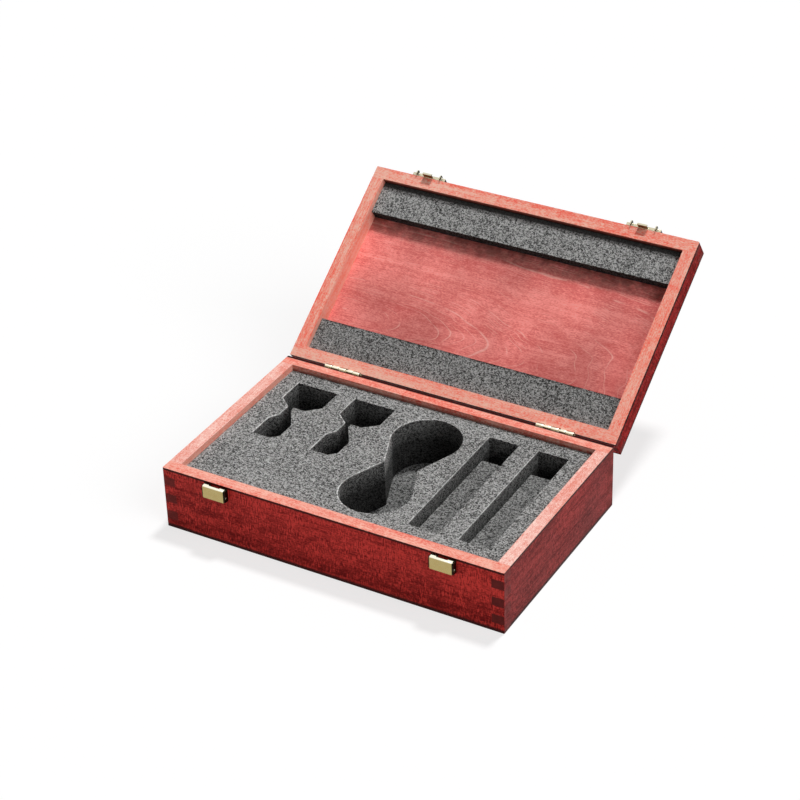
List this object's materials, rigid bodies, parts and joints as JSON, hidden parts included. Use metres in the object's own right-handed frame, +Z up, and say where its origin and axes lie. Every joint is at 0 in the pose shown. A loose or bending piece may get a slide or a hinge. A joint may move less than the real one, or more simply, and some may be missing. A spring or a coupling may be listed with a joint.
{
  "type": "microphone case",
  "caption": "Finger-jointed wooden case with a hinged lid, brass snap latches and grey foam cut for pencil microphones, windscreens and clips.",
  "frame": {"origin": "centre of the base's underside, on the surface that the case stands on", "axes": "+X to the right seen from the latches, +Y to the hinges, +Z up; the lid rests fully open"},
  "size_m": [0.255, 0.3051, 0.1413],
  "materials": {
    "frame_wood": "satin lacquer, red mahogany",
    "panel_wood": "satin lacquer, red mahogany",
    "foam": "open-cell foam, grey",
    "brass": "polished",
    "spring_steel": "bright"
  },
  "bodies": {
    "base": {"base_front_panel": "frame_wood", "base_back_panel": "frame_wood", "base_left_panel": "frame_wood", "base_right_panel": "frame_wood", "base_bottom_panel": "panel_wood", "foam_base_pad": "foam", "foam_insert": "foam", "mic_slot_foam_left": "foam", "mic_slot_foam_right": "foam", "hinge_base_leaf_left": "brass", "hinge_base_leaf_right": "brass", "hinge_pin_left": "brass", "hinge_pin_right": "brass", "hinge_base_screws": "brass", "latch_housing_left": "brass", "latch_housing_right": "brass", "latch_pin_left": "brass", "latch_pin_right": "brass", "latch_spring_left": "spring_steel", "latch_spring_right": "spring_steel", "latch_base_screws": "brass"},
    "lid": {"lid_front_panel": "frame_wood", "lid_back_panel": "frame_wood", "lid_left_panel": "frame_wood", "lid_right_panel": "frame_wood", "lid_top_panel": "panel_wood", "lid_foam_strip_front": "foam", "lid_foam_strip_back": "foam", "hinge_lid_leaf_left": "brass", "hinge_lid_leaf_right": "brass", "hinge_lid_screws": "brass", "latch_hook_left": "brass", "latch_hook_right": "brass", "latch_hook_screws": "brass"},
    "left_lever": {"latch_lever_left": "brass"},
    "right_lever": {"latch_lever_right": "brass"}
  },
  "joints": [
    {"name": "lid_hinge", "type": "hinge", "parent": "base", "child": "lid", "pos_m": [0, 0.08032, 0.04725], "axis": [1, 0, 0], "range_deg": [0, 145.5]},
    {"name": "left_lever_rock", "type": "hinge", "parent": "base", "child": "left_lever", "pos_m": [-0.085, -0.08185, 0.04], "axis": [-1, 0, 0], "range_deg": [0, 8.5]},
    {"name": "right_lever_rock", "type": "hinge", "parent": "base", "child": "right_lever", "pos_m": [0.085, -0.08185, 0.04], "axis": [-1, 0, 0], "range_deg": [0, 8.5]}
  ]
}
